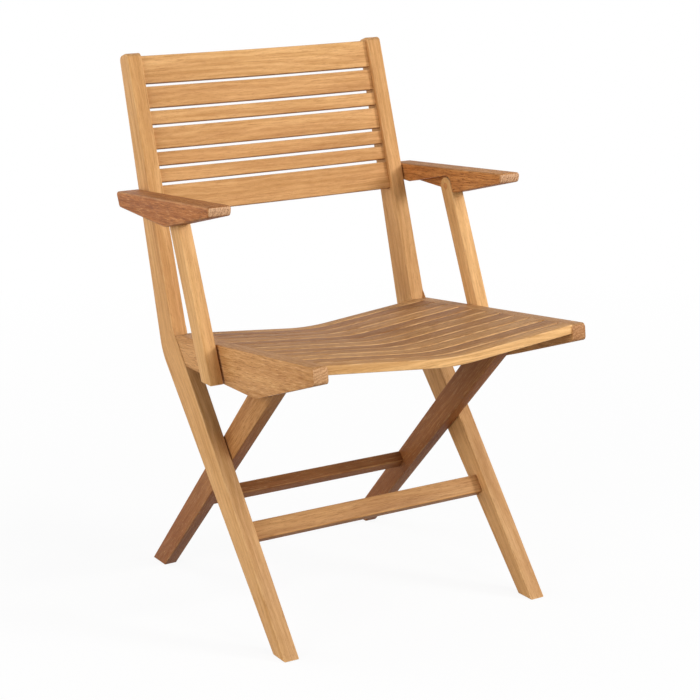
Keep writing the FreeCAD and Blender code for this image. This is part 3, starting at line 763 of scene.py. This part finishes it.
class ARMCHAIR_OT_main_legs(bpy.types.Operator):
    """Bent main legs with uprights, and the hollow for the seat rail"""
    bl_idname = "armchair.main_legs"
    bl_label = "Main Legs"

    def execute(self, context):
        size, line = side_lines()
        bend, rear_bend = line.front_bend, line.rear_bend
        top, top_rear = line.leg_top, line.leg_top_rear
        below_hinge = HINGE - line.foot_dir * line.hollow
        hollow_end = HINGE + rearward(line.back_dir) * line.hollow
        rear_dir = (rear_bend - line.foot_rear).normalized()
        low_rear = at_height(line.foot_rear, rear_dir, rear_bend.y - size.bend_run)
        piece = slab("oiled_main_leg_right", [
            (line.foot_front, line.foot_rear), (below_hinge, low_rear), (bend, rear_bend),
            (top, top_rear)], *LEG_X)
        round_path(piece, (low_rear, rear_bend, top_rear), size.rear_bend_radius, 6)
        round_path(piece, (bend, top, top_rear, rear_bend), size.top_radius, 5)
        round_edges(piece, size.leg_round, "frame_teak")
        inside = (LEG_X[0] - OVERLAP, RAIL_X[1] + SIDE_GAP)
        shape_with(piece, round_bar("hollow", HINGE, line.hollow, *inside))
        ahead = Vector((-0.02, 0.0))
        shape_with(piece, slab("opening", [(HINGE, hollow_end), (bend + ahead, bend)], *inside))
        middle = (bend.y + rear_bend.y) / 2
        runs = [side_run(hollow_end, line.foot_dir, middle), side_run(hollow_end, line.back_dir)]
        hand_over_pair(piece, "main_frame", "main_leg_{}", "frame_teak", runs, 1.0)
        return {"FINISHED"}


class ARMCHAIR_OT_back_boards(bpy.types.Operator):
    """Bowed boards of the back between the uprights"""
    bl_idname = "armchair.back_boards"
    bl_label = "Back Boards"

    def execute(self, context):
        size, line = side_lines()
        up = line.back_dir
        rear = rearward(up)
        base = at_height(line.front_bend, up, 0.0)
        along = (line.leg_top - base).length - size.board_top_drop
        names = ("back_rail_top", "back_board_1", "back_board_2", "back_board_3", "back_board_4",
                 "back_board_5", "back_rail_bottom")
        reach = INNER + OVERLAP
        steps = 14
        for k, (name, width) in enumerate(zip(names, size.board_widths)):
            stations = []
            for i in range(steps + 1):
                x = -reach + 2 * reach * i / steps
                bow = size.board_bow * (1 - (x / INNER) ** 2)
                low = base + rear * (size.board_inset + bow) + up * (along - width)
                stations.append(rectangle(x, low, rear * size.board_thickness, up * width))
            piece = bar("oiled_" + name, stations)
            round_edges(piece, size.board_round, "frame_teak")
            hand_over(piece, "main_frame", name, "frame_teak", [cross_run(stations[0][0], up)], 3.0 + k)
            along -= width + size.board_gap
        return {"FINISHED"}


class ARMCHAIR_OT_stretchers(bpy.types.Operator):
    """Cross bars between the main legs and between the rear legs"""
    bl_idname = "armchair.stretchers"
    bl_label = "Stretchers"

    def execute(self, context):
        size, line = side_lines()
        bars = (("front_stretcher", "main_frame", line.foot_front, line.foot_dir, INNER),
                ("rear_stretcher", "rear_leg_frame", *rear_leg_lines()[1], REAR_LEG_X[0]))
        for k, (name, body, foot, direction, inner) in enumerate(bars):
            middle, width, inset, thickness = getattr(size, name)
            rear = rearward(direction)
            low = foot + direction * (middle - width / 2) + rear * inset
            reach = inner + OVERLAP
            piece = bar("oiled_" + name, [rectangle(x, low, direction * width, rear * thickness)
                                          for x in (-reach, 0.0, reach)])
            round_edges(piece, size.leg_round * 1.3, "under_teak")
            hand_over(piece, body, name, "under_teak", [cross_run(space(0.0, low), direction)], 11.0 + k)
        return {"FINISHED"}


class ARMCHAIR_OT_rear_legs(bpy.types.Operator):
    """Rear legs with round tops about the hook rod"""
    bl_idname = "armchair.rear_legs"
    bl_label = "Rear Legs"

    def execute(self, context):
        size = side_lines()[0]
        (front, front_dir), (rear, rear_dir), across = rear_leg_lines()
        axis = Vector((-across.y, across.x))
        top = HOOK_ROD + axis * size.rear_leg_nose
        top_front = crossing(top, across, front, front_dir)
        top_rear = crossing(top, across, rear, rear_dir)
        piece = slab("oiled_rear_leg_right", [(front, rear), (top_front, top_rear)], *REAR_LEG_X)
        round_path(piece, (front, top_front, top_rear, rear), size.rear_leg_nose, 8)
        round_edges(piece, size.leg_round, "under_teak")
        hand_over_pair(piece, "rear_leg_frame", "rear_leg_{}", "under_teak", [side_run(front, axis)], 13.0)
        return {"FINISHED"}


class ARMCHAIR_OT_seat_rails(bpy.types.Operator):
    """Seat rails with a round nose at the hinge and a slot for the tongue"""
    bl_idname = "armchair.seat_rails"
    bl_label = "Seat Rails"

    def execute(self, context):
        size, line = side_lines()
        up, forward = line.seat_up, line.seat_dir
        leg_gap, neck_length, wedge_depth = 0.001, 0.018, 0.004
        low = HINGE.y - size.rail_bottom_drop
        top_rear = line.rail_top_rear
        top_front = top_rear + forward * size.rail_length
        front_low = top_front - up * size.rail_depth_front
        taper = at_height(HINGE + forward * size.rail_taper_start, UP, low)
        taper_top = top_rear + forward * size.rail_taper_start
        end_line = HINGE - rearward(line.foot_dir) * leg_gap
        end_low = at_height(end_line, line.foot_dir, low)
        end_top = crossing(end_line, line.foot_dir, HINGE, up)
        neck = top_rear + forward * neck_length
        neck_low = at_height(end_low - Vector((neck_length, 0.0)), UP, low)
        piece = slab("oiled_seat_rail_right", [
            (front_low, top_front), (taper, taper_top), (neck_low, neck), (end_low, end_top)], *RAIL_X)
        wedge = slab("wedge", [(neck - up * wedge_depth, neck), (end_top, top_rear)], *RAIL_X)
        shape_with(piece, wedge, "UNION")
        shape_with(piece, round_bar("nose", HINGE, line.hollow - HINGE_GAP, *RAIL_X), "UNION")
        round_path(piece, (taper_top, top_front, front_low, taper), size.rail_corner, 4)
        round_edges(piece, size.leg_round, "frame_teak")
        self.cut_tongue_slot(piece, line)
        hand_over_pair(piece, "seat", "seat_rail_{}", "frame_teak", [side_run(top_front, forward)], 15.0)
        return {"FINISHED"}

    def cut_tongue_slot(self, piece, line):
        """Opens the nose where the leg's tongue passes on its way from the open to the folded chair."""
        half_width, start_back, reach, eye = 0.0033, 0.0025, 0.03, 0.0058
        half_turn = math.radians(50)
        middle = sum(RAIL_X) / 2
        inside = (middle - half_width, middle + half_width)
        tongue = rearward(line.foot_dir)
        turn = math.atan2(tongue.y, tongue.x) + half_turn
        open_way = Vector((math.cos(turn), math.sin(turn)))
        side = Vector((-open_way.y, open_way.x)) * reach
        start = HINGE - open_way * start_back
        end = open_way * reach
        slot = slab("slot", [(start - side, start + side), (start - side + end, start + side + end)], *inside)
        shape_with(piece, slot)
        shape_with(piece, round_bar("eye", HINGE, eye, *inside))


class ARMCHAIR_OT_seat_slats(bpy.types.Operator):
    """Dished slats of the seat"""
    bl_idname = "armchair.seat_slats"
    bl_label = "Seat Slats"

    def execute(self, context):
        size, line = side_lines()
        up, forward = line.seat_up, line.seat_dir
        slope = math.atan2(size.slat_dip, INNER)
        bend = size.slat_bend * math.sin(slope)
        reach = INNER + OVERLAP
        shoulder = bend * 1.6
        places = [-reach, -shoulder] + [bend * k / 4 for k in range(-4, 5)] + [shoulder, reach]
        lowest = size.slat_dip - size.slat_bend * (1 / math.cos(slope) - 1)
        drops = []
        for x in places:
            drop = size.slat_dip - abs(x) * math.tan(slope)
            if abs(x) < bend:
                drop = lowest - (size.slat_bend - math.sqrt(size.slat_bend ** 2 - x * x))
            drops.append(drop)
        count = len([n for n in frame["nodes"] if n.startswith("seat_slat")])
        edge = size.rail_length - size.slat_front_inset
        thick = size.slat_thickness / math.cos(slope)
        for i in range(count):
            width = size.front_slat_width if i == 0 else size.slat_pitch - size.slat_gap
            rear = -size.slat_rear_overhang if i == count - 1 else edge - width
            front = line.rail_top_rear + forward * edge
            stations = [rectangle(x, front - up * drop, forward * (rear - edge), up * -thick)
                        for x, drop in zip(places, drops)]
            name = "seat_slat_" + str(i + 1).zfill(2)
            piece = bar("oiled_" + name, stations)
            round_edges(piece, size.slat_round, "seat_teak")
            hand_over(piece, "seat", name, "seat_teak", [cross_run(stations[0][0], forward)], 17.0 + i)
            edge = rear - size.slat_gap
        return {"FINISHED"}


class ARMCHAIR_OT_posts(bpy.types.Operator):
    """Posts of the arms with a round top, a level foot and a bore for the plug"""
    bl_idname = "armchair.posts"
    bl_label = "Arm Posts"

    def execute(self, context):
        size, line = side_lines()
        up = line.post_dir
        rear = rearward(up)
        half = size.post_depth / 2
        nearly_half = half * 0.96
        top = POST_TOP + up * (half + SIDE_GAP)
        foot = RAIL_PIVOT.y - size.post_foot_drop
        low_front = at_height(RAIL_PIVOT - rear * half, up, foot)
        low_rear = at_height(RAIL_PIVOT + rear * half, up, foot)
        top_front, top_rear = top - rear * half, top + rear * half
        piece = slab("oiled_post_right", [(low_front, low_rear), (top_front, top_rear)], *POST_X)
        round_path(piece, (low_front, top_front, top_rear, low_rear), nearly_half, 8)
        round_edges(piece, size.leg_round, "frame_teak")
        shape_with(piece, round_bar("bore", POST_TOP, size.plug_bore, POST_X[0] - OVERLAP,
                                    POST_X[1] + OVERLAP, sides=40))
        hand_over_pair(piece, "post_{}", "post_{}", "frame_teak", [side_run(low_front, up)], 31.0)
        return {"FINISHED"}


class ARMCHAIR_OT_arms(bpy.types.Operator):
    """Flat arms that swell to their rear, with a notch below for the post"""
    bl_idname = "armchair.arms"
    bl_label = "Arms"

    def execute(self, context):
        size, line = side_lines()
        front_top, front_low, rear_top, rear_low, belly = [POST_TOP + Vector(place) for place in (
            size.arm_front_top, size.arm_front_low, size.arm_rear_top, size.arm_rear_low, size.arm_belly)]
        above = front_top.lerp(rear_top, (belly.x - front_top.x) / (rear_top.x - front_top.x))
        outline = [(front_low, front_top), (belly, above), (rear_low, rear_top)]
        piece = slab("oiled_arm_right", outline, *ARM_X)
        round_path(piece, (front_low, belly, rear_low), size.arm_belly_radius, 5)
        round_path(piece, (above, front_top, front_low, belly), size.arm_corner, 5)
        round_path(piece, (above, rear_top, rear_low, belly), size.arm_corner, 5)
        round_edges(piece, size.arm_round, "arm_teak")
        self.cut_notch(piece, size, line)
        along = Vector((0.0, *(rear_top - front_top).normalized()))
        runs = [(space(0.0, front_top), along, ACROSS, None)]
        hand_over_pair(piece, "arm_{}", "arm_{}", "arm_teak", runs, 33.0)
        return {"FINISHED"}

    def cut_notch(self, piece, size, line):
        """Hollows the arm for the post: a wall in front of its top, and a roof over it when folded."""
        folded_turn, wall_lean = math.radians(100), 22.0
        roof_gap, wall_gap, beside_post, foot_height = 0.0032, 0.0027, 0.001, 0.01
        half = size.post_depth / 2
        roof_dir = -(Matrix.Rotation(folded_turn, 2) @ line.post_dir)
        roof_normal = rearward(roof_dir)
        if roof_normal.y < 0:
            roof_normal = -roof_normal
        roof = POST_TOP + roof_normal * (half + roof_gap)
        wall_dir = lean(wall_lean)
        radius = half + SIDE_GAP + wall_gap
        wall = POST_TOP - rearward(wall_dir) * radius
        low = POST_TOP.y - size.post_depth
        peak = crossing(roof, roof_dir, wall, wall_dir)
        wall_low = at_height(wall, wall_dir, low)
        roof_low = at_height(roof, roof_dir, low)
        notch = slab("notch", [(wall_low, peak), (roof_low - UP * foot_height, roof_low)],
                     ARM_X[0] - OVERLAP, POST_X[1] + beside_post)
        round_path(notch, (wall_low, peak, roof_low), radius * 0.8, 8)
        shape_with(piece, notch)


class ARMCHAIR_OT_hardware(bpy.types.Operator):
    """Steel pins, tongues and rod, and the teak plugs over the pins"""
    bl_idname = "armchair.hardware"
    bl_label = "Hardware"

    def execute(self, context):
        finishes = context.scene.armchair_finishes
        steel = turned_steel("Turned steel", finishes.steel)
        plug = turned_plug("Teak plug", finishes.arm_teak)
        for part in frame["record"]["subparts"]:
            node = frame["nodes"][part["node"]]
            finish = {"steel": steel, "plug_teak": plug}.get(part["material_slot"])
            if finish:
                node.data.materials.clear()
                node.data.materials.append(finish)
        return {"FINISHED"}


# Stage

def seen_rays(tree):
    """1 on the rays that show the background: to the camera, in reflections and through glass."""
    path = tree.nodes.new("ShaderNodeLightPath")
    seen = path.outputs["Is Camera Ray"]
    for kind in ("Is Glossy Ray", "Is Transmission Ray"):
        seen = reckon(tree, "MAXIMUM", seen, path.outputs[kind])
    return seen


def pale_floor(name):
    """Matt floor, white where it is seen, that keeps the object's shadow and lights it only a little."""
    material, tree, shader = new_material(name)
    where = own_place(tree)
    seen = seen_rays(tree)
    cloud = stretched_noise(tree, where, (0.7, 0.7, 0.7), detail=2.0, roughness=0.5)
    pale = tint(tree, remap(tree, cloud, 0.3, 0.7), (0.90, 0.90, 0.90), (0.93, 0.93, 0.93))
    feed(tree, shader.inputs["Base Color"], tint(tree, seen, (0.26, 0.26, 0.26), pale))
    shader.inputs["Roughness"].default_value = 0.9
    glow = add_node(tree, "ShaderNodeEmission", Strength=1.0)
    reach = reckon(tree, "LENGTH", where, kind="VectorMath")
    fading = remap(tree, reach, 0.5, 2.5, to_low=0.90, to_high=1.0)
    mix = add_node(tree, "ShaderNodeMixShader", Fac=reckon(tree, "MULTIPLY", seen, fading))
    feed(tree, mix.inputs[1], shader.outputs["BSDF"])
    feed(tree, mix.inputs[2], glow.outputs["Emission"])
    feed(tree, tree.nodes["Material Output"].inputs["Surface"], mix.outputs["Shader"])
    return material


def pale_room(tree):
    """White to the camera and in reflections, and a soft even light on the object."""
    background = tree.nodes["Background"]
    background.inputs["Color"].default_value = (1.0, 1.0, 1.0, 1.0)
    feed(tree, background.inputs["Strength"],
         remap(tree, seen_rays(tree), 0.0, 1.0, to_low=0.32, to_high=1.0))


class ARMCHAIR_OT_stage(bpy.types.Operator):
    """Pale floor, soft lamps and the camera"""
    bl_idname = "armchair.stage"
    bl_label = "Stage"

    def execute(self, context):
        deselect()
        bpy.ops.mesh.primitive_plane_add(size=60.0, location=(0.0, 0.0, -0.0005))
        floor = bpy.context.object
        floor.name = "pale_floor"
        bpy.ops.object.transform_apply(location=True)
        floor.data.materials.append(pale_floor("Pale floor"))
        world = bpy.data.worlds.new("Soft room")
        context.scene.world = world
        world.use_nodes = True
        pale_room(world.node_tree)
        self.add_lamps()
        self.add_camera(context)
        context.scene.view_settings.view_transform = "Standard"
        return {"FINISHED"}

    def add_lamps(self):
        """Square lamps, with their places, sizes in metres and powers in watts, aimed at the seat."""
        aim = Vector((0.0, 0.0, 0.45))
        for name, spot, size, power in (("Key lamp", (3.47, -2.91, 2.56), 1.3, 146.0),
                                        ("Front lamp", (1.25, -4.65, 2.2), 2.0, 85.0),
                                        ("Side lamp", (-4.2, -1.2, 1.4), 3.0, 108.0),
                                        ("Rear lamp", (-2.4, 3.2, 2.2), 2.4, 62.0)):
            turn = (aim - Vector(spot)).to_track_quat("-Z", "Y").to_euler()
            bpy.ops.object.light_add(type="AREA", location=spot, rotation=turn)
            lamp = bpy.context.object
            lamp.name = name
            lamp.data.size = size
            lamp.data.energy = power

    def add_camera(self, context):
        """Camera at the photograph's place, turned by its azimuth, elevation and roll."""
        look = context.scene.armchair_camera
        a, e, r = look.azimuth, look.elevation, look.roll
        back = Vector((math.sin(a) * math.cos(e), -math.cos(a) * math.cos(e), math.sin(e)))
        level = Vector((math.cos(a), math.sin(a), 0.0))
        upright = back.cross(level)
        right = level * math.cos(r) + upright * math.sin(r)
        up = upright * math.cos(r) - level * math.sin(r)
        turn = Matrix((right, up, back)).transposed().to_euler()
        bpy.ops.object.camera_add(location=look.place, rotation=turn)
        camera = bpy.context.object
        camera.name = "Camera"
        camera.data.sensor_width = 36.0
        camera.data.lens = look.lens
        camera.data.shift_x, camera.data.shift_y = look.shift
        camera.data.clip_end = 200.0
        context.scene.camera = camera


OPERATORS = (ARMCHAIR_OT_main_legs, ARMCHAIR_OT_back_boards, ARMCHAIR_OT_stretchers, ARMCHAIR_OT_rear_legs,
             ARMCHAIR_OT_seat_rails, ARMCHAIR_OT_seat_slats, ARMCHAIR_OT_posts, ARMCHAIR_OT_arms,
             ARMCHAIR_OT_hardware, ARMCHAIR_OT_stage)


class ARMCHAIR_PT_pieces(bpy.types.Panel):
    """Lists the pieces of the chair, its sizes and its finishes"""
    bl_idname = "ARMCHAIR_PT_pieces"
    bl_label = "Armchair"
    bl_space_type = "VIEW_3D"
    bl_region_type = "UI"
    bl_category = "Armchair"

    def draw(self, context):
        scene = context.scene
        finishes = scene.armchair_finishes
        for operator in OPERATORS:
            self.layout.operator(operator.bl_idname)
        for group in (scene.armchair_sizes, scene.armchair_camera):
            box = self.layout.box()
            for key in group.__annotations__:
                box.prop(group, key)
        for slot in ("frame_teak", "arm_teak", "seat_teak", "under_teak"):
            box = self.layout.box()
            box.label(text=slot)
            for key in TeakFinish.__annotations__:
                box.prop(getattr(finishes, slot), key)
        self.layout.prop(finishes, "steel")


CLASSES = (ArmchairSizes, TeakFinish, ArmchairFinishes, ArmchairCamera, *OPERATORS, ARMCHAIR_PT_pieces)


GROUPS = {"armchair_sizes": ArmchairSizes, "armchair_finishes": ArmchairFinishes,
          "armchair_camera": ArmchairCamera}


def register():
    for item in CLASSES:
        bpy.utils.register_class(item)
    for name, group in GROUPS.items():
        setattr(bpy.types.Scene, name, bpy.props.PointerProperty(type=group))


def unregister():
    for name in GROUPS:
        delattr(bpy.types.Scene, name)
    for item in reversed(CLASSES):
        bpy.utils.unregister_class(item)


def main():
    """Makes the pieces in order."""
    register()
    set_finishes(bpy.context.scene.armchair_finishes)
    for operator in OPERATORS:
        getattr(bpy.ops.armchair, operator.bl_idname.split(".")[1])()
    deselect()


if __name__ == "__main__":
    main()
